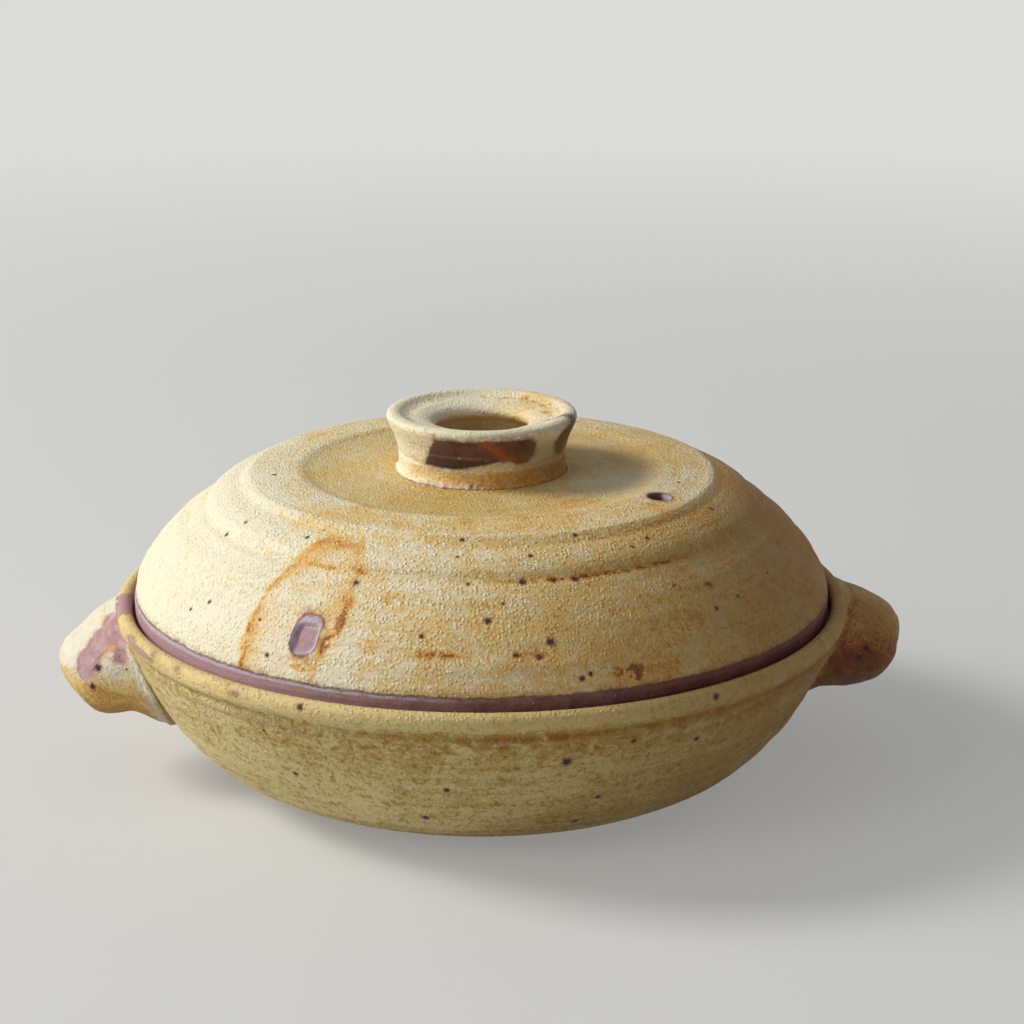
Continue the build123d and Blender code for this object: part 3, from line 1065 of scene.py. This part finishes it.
def handle_finish(groups, lug):
    """The lid's glaze, worn through to bare clay, with a thin rusty crack against the wall, and painted
    shade towards its underside.
    """
    finish = Finish(lug["name"] + "_finish", lean=1.0, seed=lug["glaze_seed"], thickness=lug["thickness"])
    make, z = finish.make, finish.z
    off_wall = make.node("ShaderNodeAttribute", output="Fac", attribute_name="off_wall")
    clear = make.ramp(off_wall, 3.0, 8.0, 0.3, 1.0)
    # Painted shade: thinner, darker glaze low on the lug, away from the wall
    finish.thickness -= 0.62 * make.ramp(z, 56.0, 38.0) * clear
    finish.thickness += 0.2 * finish.near(off_wall, 2.0, 1.8)
    finish.thickness -= 0.26 * finish.near(off_wall, 5.5, 3.0) * finish.broken(4.0, 0.36, 0.6)
    finish.cover(finish.use(groups["glaze"], **lug["glaze_colours"]))
    # Painted shade: umber patches and golden brown towards the lug's underside
    finish.tint(make.ramp(z, 50.0, 34.0) * finish.broken(5.0, 0.3, 0.6, seed=3.0), umber_ash_and_shade, 0.5)
    finish.tint(make.ramp(z, 38.0, 27.0) * clear, golden_brown_and_shade, 0.7)
    worn = finish.blobs(on_lug(lug["side"], lug["worn"]))
    edge = finish.use(groups["line"], Depth=worn, Raggedness=1.0, Softness=0.9)
    finish.tint(edge["Halo"] * finish.broken(3.0, 0.4, 0.6), orange_ash, 0.4)
    finish.cover(finish.use(groups["clay"], **lug["clay_colours"]), edge["Bare"], thickness=0.2)
    flashes = finish.blobs(on_lug(lug["side"], lug["flashes"]))
    finish.tint(edge["Bare"] * make.ramp(flashes, -0.8, 0.8), orange_wash, 0.75)
    crack = make.ramp(off_wall / make.ramp(z, 24.0, 44.0, 0.12, 0.5), 1.0, 0.2)
    finish.tint(crack * finish.broken(5.0, 0.3, 0.45), golden_brown_and_shade, 0.7)
    finish.spots(lug["name"] + "_spots", on_lug(lug["side"], lug["spots"]))
    return finish.done()


def lid_spots(rows):
    """The lid's largest iron spots: azimuth, distance from the axis, radius."""
    seen = [
        (-98.6, 105.9, 0.7), (-88.4, 105.6, 1.2), (-82.4, 105.6, 0.9), (-78.2, 105.9, 1.2),
        (-95.0, 117.7, 1.15), (-85.1, 123.6, 1.3), (-105.7, 122.1, 0.8), (-90.7, 126.3, 0.8),
        (-87.2, 126.9, 0.9), (-92.3, 112.8, 0.55), (-80.9, 131.2, 0.9), (-79.5, 130.6, 0.8),
        (-58.6, 96.5, 0.8), (-63.5, 99.0, 0.6), (-74.6, 89.8, 0.8), (-100.3, 89.8, 0.8), (-86.0, 97.5, 0.8),
        (-155.1, 99.7, 0.7), (-158.1, 105.1, 0.8), (-135.6, 97.0, 0.7), (-119.6, 108.3, 1.1),
        (-147.5, 123.9, 0.7), (-177.0, 79.1, 0.8), (-33.0, 94.5, 0.9), (-23.9, 77.2, 0.7),
        (-130.8, 130.4, 0.7), (-53.5, 122.4, 0.7), (-47.5, 121.3, 0.6), (-101.0, 97.5, 0.6),
    ]
    return [(*on_outline(rows, azimuth, radius), size) for azimuth, radius, size in seen]


def bowl_spots(rows):
    """The bowl's largest iron spots: azimuth, height, radius."""
    seen = [
        (-83.3, 48.3, 1.6), (-61.7, 49.1, 1.0), (-105.8, 21.7, 1.2), (-79.1, 17.1, 1.1),
        (-101.5, 36.6, 1.0), (-76.7, 29.7, 0.9), (-73.3, 54.0, 0.9), (-127.3, 35.3, 0.9),
        (-122.4, 67.0, 1.1), (-60.6, 66.2, 1.1),
    ]
    return [(*on_ring(azimuth, wall_radius(rows, height), height), size) for azimuth, height, size in seen]


# What hands and tools do to the thrown pieces


def squeeze_slip(knob):
    """Lumps of slip squeezed out under the knob's foot, most of all at the front left."""
    for vert in knob.data.vertices:
        x, y, z = vert.co / MM
        rise = z - lid_top
        out = math.hypot(x, y)
        if rise > 2.5 or out < 30:
            continue
        turn = math.degrees(math.atan2(y, x))
        share = 0.3 + 0.7 * math.exp(-(((turn + 118) / 30) ** 2))
        lump = max(0.0, noise.noise(vert.co / (1.5 * MM)) + 0.15)
        push = 1.7 * share * lump * (1 - rise / 2.5)
        vert.co += Vector((x / out, y / out, 0.0)) * push * MM
    knob.data.update()


def press_thumb(lid, rows):
    """Refines the lid's mesh round the thumb press and pushes the clay in."""
    centre = Vector(press_place(rows)) * MM
    across, down, outward = (Vector(axis) for axis in press_axes())
    shape = bmesh.new()
    shape.from_mesh(lid.data)
    near = [e for e in shape.edges if (e.verts[0].co - centre).length < 12 * MM]
    bmesh.ops.subdivide_edges(shape, edges=near, cuts=3, use_grid_fill=True, smooth=0.0)
    for vert in shape.verts:
        offset = vert.co - centre
        if offset.length > 14 * MM or abs(offset.dot(outward)) > 5 * MM:
            continue
        u = offset.dot(across) / (press_width * 0.44 * MM)
        v = (offset.dot(down) - 1.2 * MM) / (press_length * 0.37 * MM)
        far = (abs(u) ** 4 + abs(v) ** 4) ** (1 / 4)
        hollow = 1 / (1 + math.exp((far - 0.93) * 22))
        swell = 0.14 * math.exp(-(((far - 1.2) / 0.13) ** 2))
        vert.co -= outward * (hollow * press_depth - swell) * MM
    shape.to_mesh(lid.data)
    shape.free()


def punch_steam_hole(lid, finish):
    """Cuts the steam hole with a cutter that widens at both faces, for rounded edges."""
    x, y = steam_hole
    top, bottom, bore = lid_top + 0.7, lid_top - 6.0, steam_hole_radius
    profile = [
        (0, top + 2), (bore + 2.0, top + 2), (bore + 0.6, top + 0.1), (bore + 0.2, top - 0.6),
        (bore, top - 1.6), (bore, bottom + 1.2), (bore + 0.4, bottom + 0.3), (bore + 1.2, bottom - 0.3),
        (bore + 2.4, bottom - 2), (0, bottom - 2),
    ]
    mesh = revolved("steam_hole_cutter", [(radius * MM, height * MM) for radius, height in profile], 40)
    mesh.transform(Matrix.Translation((x * MM, y * MM, 0.0)))
    face_outwards(mesh)
    cutter = new_object("steam_hole_cutter", mesh)
    modifier = lid.modifiers.new("hole", "BOOLEAN")
    modifier.object = cutter
    modifier.operation = "DIFFERENCE"
    modifier.solver = "EXACT"
    depsgraph = bpy.context.evaluated_depsgraph_get()
    cut = bpy.data.meshes.new_from_object(lid.evaluated_get(depsgraph))
    lid.modifiers.clear()
    lid.data = cut
    bpy.data.objects.remove(cutter)
    dress(cut, finish)


# The lugs, with lengths from the pot's axis, across the handle and up from the rim's top.
# Sections are (distance from the axis, half width, top, bottom), presses are
# (distance, across, up, radius, depth), and marks are (distance, across, up, radius).

left_lug = {
    "name": "left_lug",
    "side": -1,
    "sections": [
        (116.0, 28.5, 0.6, -44.5), (133.0, 28.4, 1.0, -42.6), (145.0, 24.8, -4.4, -43.4),
        (153.0, 21.6, -11.8, -38.9), (158.5, 15.9, -15.9, -33.4), (161.4, 8.3, -20.1, -27.4),
    ],
    "fullness": 2.6, "bow": 2.6, "skew": -3.6, "tilt": 0.8, "collar": 3.0, "lump": 1.2, "seed": 4.0,
    "presses": [
        (148.0, 19.0, -13.0, 8.0, 0.9), (151.0, 4.0, -7.0, 7.0, 0.5),
        (138.5, 26.0, -36.0, 4.4, 2.6), (138.0, 16.0, -42.5, 5.0, 2.8),
    ],
    "glaze_seed": 12.0,
    "thickness": 1.02,
    "glaze_colours": {"Thick_colour": tone(222, 215, 192)},
    # The worn clay is lighter and rosier as painted light on this lit lug
    "clay_colours": {"Light_colour": lit_rosy_clay, "Dark_colour": tone(166, 120, 118)},
    "worn": [
        (141.8, 11.0, -4.2, 3.8), (140.8, 17.0, -7.2, 5.2), (146.0, 17.0, -11.0, 6.2),
        (150.3, 18.4, -16.5, 5.4), (151.5, 19.4, -20.6, 3.8), (139.0, 22.6, -10.2, 4.4),
        (138.4, 25.2, -14.0, 3.6),
    ],
    "flashes": [(142.8, 21.6, -13.6, 2.2), (141.4, 22.4, -11.4, 1.4), (145.0, 22.6, -16.6, 1.6)],
    "spots": [(146.9, 22.6, -19.2, 1.3), (149.0, 22.1, -26.8, 1.2)],
}

right_lug = {
    "name": "right_lug",
    "side": 1,
    "sections": [
        (116.0, 26.5, -2.0, -44.5), (133.0, 25.4, -1.4, -42.6), (145.0, 24.4, -4.2, -42.9),
        (153.5, 22.8, -8.0, -41.6), (160.5, 16.0, -12.2, -36.2), (163.8, 8.4, -17.0, -29.0),
    ],
    "fullness": 2.4, "bow": 2.8, "skew": -1.4, "tilt": -2.2, "collar": 2.8, "lump": 0.6, "seed": 14.0,
    "presses": [
        (140.5, -4.0, -2.0, 4.0, 0.7), (147.5, -4.0, -5.0, 5.0, 0.9), (146.0, -25.0, -20.0, 9.0, 1.0),
    ],
    "glaze_seed": 17.0,
    # Thinner glaze and darker, redder colours than the left lug's: partly its own colour, partly painted
    # shade on this shaded lug
    "thickness": 0.62,
    "glaze_colours": {
        "Thick_colour": tone(206, 170, 106),
        "Middle_colour": tone(188, 140, 74),
        "Thin_colour": tone(162, 98, 44),
    },
    "clay_colours": {"Light_colour": tone(136, 82, 64), "Dark_colour": shaded_red_clay},
    "worn": [
        (141.0, -19.0, -37.5, 5.0), (147.0, -17.0, -38.5, 6.0), (152.0, -15.0, -37.0, 4.0),
        (156.5, -8.0, -14.0, 3.0),
    ],
    "flashes": [(146.0, -22.0, -33.0, 1.6)],
    "spots": [(147.0, -23.9, -22.5, 1.6), (144.0, -24.0, -26.0, 1.2)],
}


def lug_grid(rows, lug, around_count, along_count):
    """Places over a lug, round it and then along it: distance, across, up, and off the wall."""
    reach, half_width, top, bottom = np.array(curve(*lug["sections"], count=16)).T[:, :, None]
    angles = np.linspace(0, 2 * math.pi, around_count, endpoint=False)
    cos, sin = np.cos(angles), np.sin(angles)
    wide = np.sign(cos) * np.abs(cos) ** (2 / lug["fullness"])
    tall = np.sign(sin) * np.abs(sin) ** (2 / lug["fullness"])
    # Every section bows, skews and tilts more the further it is from the wall
    sideways = half_width * wide
    share = sideways / 30
    lean = np.clip((reach - 133) / 25, 0, 1)
    outward = reach - lug["bow"] * share**2 + lug["skew"] * share * lean
    upward = (top + bottom) / 2 + (top - bottom) / 2 * tall + lug["tilt"] * share * lean
    off_wall = np.hypot(outward, sideways) - wall_radius(rows, rim_height + np.minimum(upward, -0.4))
    below = np.clip(-tall, 0, 1)
    columns = []
    for j in range(around_count):
        # From just inside the wall to the tip, with rows packed towards the wall
        buried = np.nonzero(off_wall[:, j] < -1.8)[0]
        first = buried[-1] if len(buried) else 0
        path = np.stack([outward[first:, j], sideways[first:, j], upward[first:, j], off_wall[first:, j]])
        steps = np.linalg.norm(np.diff(path[:3]), axis=0)
        travelled = np.concatenate([[0], np.cumsum(steps)])
        along = np.linspace(0, 1, along_count)
        wanted = travelled[-1] * (0.55 * along + 0.45 * along**2)
        out, aside, up, off = (np.interp(wanted, travelled, values) for values in path)
        # A collar of smeared clay with a lump under it, and a bead of slip in the corner
        away = np.maximum(off, 0)
        spread = 3.0 + 4.0 * below[j]
        collar = lug["collar"] * (0.3 + 0.7 * below[j]) * np.exp(-((away / spread) ** 2))
        collar = collar + lug["lump"] * below[j] * np.exp(-(((away - 6.0) / 3.2) ** 2))
        bead = 0.75 * (1 - 0.6 * max(tall[j], 0)) * np.exp(-(((away - 1.0) / 1.1) ** 2))
        swell = (collar + bead) * (1.0 if tall[j] < 0.9 else 0.4)
        columns.append((out, aside + wide[j] * swell, up + tall[j] * swell, off))
    return np.array(columns)


def press_lug(rows, lug, finish):
    """A lug pressed on by hand: a blunt tongue of clay, smeared onto the wall where it starts."""
    side, around_count, along_count = lug["side"], 112, 84
    grid = lug_grid(rows, lug, around_count, along_count)
    rings = [grid[:, :3, i] for i in range(along_count)]
    # The nose closes over a small dome
    last = rings[-1]
    centre = last.mean(axis=0) + np.array([0.9, 0, 0])
    for share in (0.75, 0.5, 0.25):
        ring = centre + (last - centre) * share
        ring[:, 0] = last[:, 0] + (centre[0] - last[:, 0]) * (1 - share**2)
        rings.append(ring)
    places = (np.concatenate([*rings, [centre]]) + (0, 0, rim_height)) * (side * MM, side * MM, MM)
    tip = len(places) - 1
    faces = [list(range(around_count))]
    for j in range(around_count):
        k = (j + 1) % around_count
        for a in range(0, tip - around_count, around_count):
            faces.append((a + j, a + k, a + around_count + k, a + around_count + j))
        faces.append((tip - around_count + j, tip - around_count + k, tip))
    mesh = bpy.data.meshes.new(lug["name"])
    mesh.from_pydata(places.tolist(), [], faces)
    seam = np.full(len(places), 20.0)
    seam[: along_count * around_count] = grid[:, 3, :].T.ravel()
    mesh.attributes.new("off_wall", "FLOAT", "POINT").data.foreach_set("value", seam)
    face_outwards(mesh)
    piece = new_object(lug["name"], mesh)
    knead(piece, lug, side)
    dress(mesh, finish)
    return piece


def knead(piece, shape, side):
    """Finger presses and the uneven surface of a hand-shaped lug."""
    mesh = piece.data
    shape_mesh = bmesh.new()
    shape_mesh.from_mesh(mesh)
    shape_mesh.normal_update()
    moves = []
    for vert in shape_mesh.verts:
        place = vert.co / MM
        push = 0.9 * noise.noise(place / 16 + Vector((shape["seed"], 0, 0)))
        push += 0.35 * noise.noise(place / 5.5 + Vector((0, shape["seed"], 0)))
        for reach, sideways, up, radius, depth in shape["presses"]:
            centre = Vector((side * reach, side * sideways, rim_height + up))
            push -= depth * math.exp(-((place - centre).length / radius) ** 2)
        moves.append(vert.normal * push * MM)
    for vert, move in zip(shape_mesh.verts, moves):
        vert.co += move
    shape_mesh.to_mesh(mesh)
    shape_mesh.free()


# The scene


def build_pieces():
    groups = {"glaze": ash_glaze_group(), "clay": bare_clay_group(), "line": glaze_line_group()}
    tree = thrown_form_tree()
    bowl_rows, lid_rows, knob_rows = bowl_outline(), lid_outline(), knob_outline()
    lid_glaze = lid_finish(groups, lid_rows)
    bowl = throw(
        "bowl", bowl_rows, bowl_finish(groups, bowl_rows), tree,
        Segments=400, Ring_height=0.65, Ring_spacing=8.5, Ring_run=150.0, Lean=1.0, Wobble=0.6, Seed=2.0,
    )
    lid = throw(
        "domed_lid", lid_rows, lid_glaze, tree,
        Segments=400, Ring_height=1.0, Ring_spacing=7.0, Ring_run=170.0, Lean=-1.0, Wobble=0.5, Seed=6.0,
    )
    knob = throw(
        "ring_knob", knob_rows, knob_finish(groups), tree,
        Segments=300, Ring_height=0.3, Ring_spacing=3.5, Ring_run=50.0, Lean=-0.3, Wobble=0.8, Seed=9.0,
    )
    squeeze_slip(knob)
    press_thumb(lid, lid_rows)
    punch_steam_hole(lid, lid_glaze)
    left, right = (press_lug(bowl_rows, lug, handle_finish(groups, lug)) for lug in (left_lug, right_lug))
    for piece, node, body, slot in (
        (bowl, "pot_body", "pot", "bowl_glaze"),
        (left, "handle_left", "pot", "handle_glaze"),
        (right, "handle_right", "pot", "handle_glaze"),
        (lid, "lid", "lid", "lid_glaze"),
        (knob, "lid_knob", "lid", "knob_glaze"),
    ):
        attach(piece, body)
        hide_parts(node)


def make_camera():
    data = bpy.data.cameras.new("camera")
    data.sensor_width = 36.0
    data.lens = camera_lens
    data.clip_start = 0.05
    data.clip_end = 30.0
    camera = new_object("camera", data)
    aside, back = math.sin(camera_turn), math.cos(camera_turn)
    place = Vector((-camera_distance * aside, -camera_distance * back, camera_height))
    turn = (
        Matrix.Rotation(-camera_turn - camera_yaw, 4, "Z")
        @ Matrix.Rotation(math.pi / 2 - camera_pitch, 4, "X")
        @ Matrix.Rotation(camera_roll, 4, "Z")
    )
    camera.matrix_world = Matrix.Translation(place * MM) @ turn
    bpy.context.scene.camera = camera


def seen_directly(make):
    """1 where the camera sees a surface, also through a reflection or glass."""
    path = make.node("ShaderNodeLightPath").outputs()
    return make.highest(path["Is Camera Ray"], path["Is Glossy Ray"], path["Is Transmission Ray"])


def make_studio():
    """A round pale floor that sweeps up into a low wall."""
    flat, bend, wall = 3.6, 0.8, 1.5
    profile = [(0.0, 0.0), (0.6, 0.0), (flat, 0.0)]
    for turn in np.linspace(0, math.pi / 2, 20)[1:]:
        profile.append((flat + bend * math.sin(turn), bend * (1 - math.cos(turn))))
    profile.append((flat + bend, wall))
    mesh = revolved("studio", profile, 96)
    material = bpy.data.materials.new("studio")
    material.use_nodes = True
    nodes = material.node_tree.nodes
    make = Tree(material.node_tree)
    surface = nodes["Principled BSDF"]
    surface.inputs["Base Color"].default_value = floor_grey
    surface.inputs["Roughness"].default_value = 0.8
    # The camera sees the floor more evenly lit than it is, most of all far from the pot
    pale = make.node("ShaderNodeEmission", {"Color": far_grey})
    place = make.node("ShaderNodeTexCoord").outputs()["Object"]
    share = seen_directly(make) * make.ramp(make.vector("LENGTH", place), 0.3, 1.7, 0.34, 0.96)
    mixed = make.node("ShaderNodeMixShader", {0: share, 1: Value(make, surface.outputs[0]), 2: pale})
    make.put(nodes["Material Output"].inputs["Surface"], mixed)
    dress(mesh, material)
    new_object("studio", mesh)


def make_lamp(name, azimuth, elevation, distance, size, spread, watts):
    """A square softbox that looks at the pot. Azimuth 0 is on the viewer's side, at -Y."""
    data = bpy.data.lights.new(name, "AREA")
    data.shape = "SQUARE"
    data.size = size
    data.spread = math.radians(spread)
    data.energy = watts
    data.color = (1.0, 0.98, 0.95)
    lamp = new_object(name, data)
    turn, lift = math.radians(azimuth), math.radians(elevation)
    back = Vector((math.sin(turn) * math.cos(lift), -math.cos(turn) * math.cos(lift), math.sin(lift)))
    lamp.location = back * distance + Vector((0, 0, 0.06))
    lamp.rotation_mode = "QUATERNION"
    lamp.rotation_quaternion = (-back).to_track_quat("-Z", "Y")


def make_light():
    """A window at the left, a softer fill from the front left, and a little sky."""
    make_lamp("window", azimuth=-103.0, elevation=35.0, distance=3.0, size=1.0, spread=90.0, watts=20.5)
    make_lamp("fill", azimuth=-58.0, elevation=26.0, distance=2.2, size=0.9, spread=180.0, watts=9.0)
    world = bpy.data.worlds.new("studio")
    bpy.context.scene.world = world
    world.use_nodes = True
    nodes = world.node_tree.nodes
    make = Tree(world.node_tree)
    sky = nodes["Background"]
    sky.inputs["Color"].default_value = (0.86, 0.9, 1.0, 1.0)
    sky.inputs["Strength"].default_value = 0.24
    # The camera sees a pale backdrop, which lights nothing
    pale = make.node("ShaderNodeBackground", {"Color": far_grey, "Strength": 1.0})
    sides = {0: seen_directly(make), 1: Value(make, sky.outputs[0]), 2: pale}
    make.put(nodes["World Output"].inputs["Surface"], make.node("ShaderNodeMixShader", sides))


make_camera()
build_pieces()
make_studio()
make_light()
bpy.context.scene.view_settings.view_transform = "Standard"
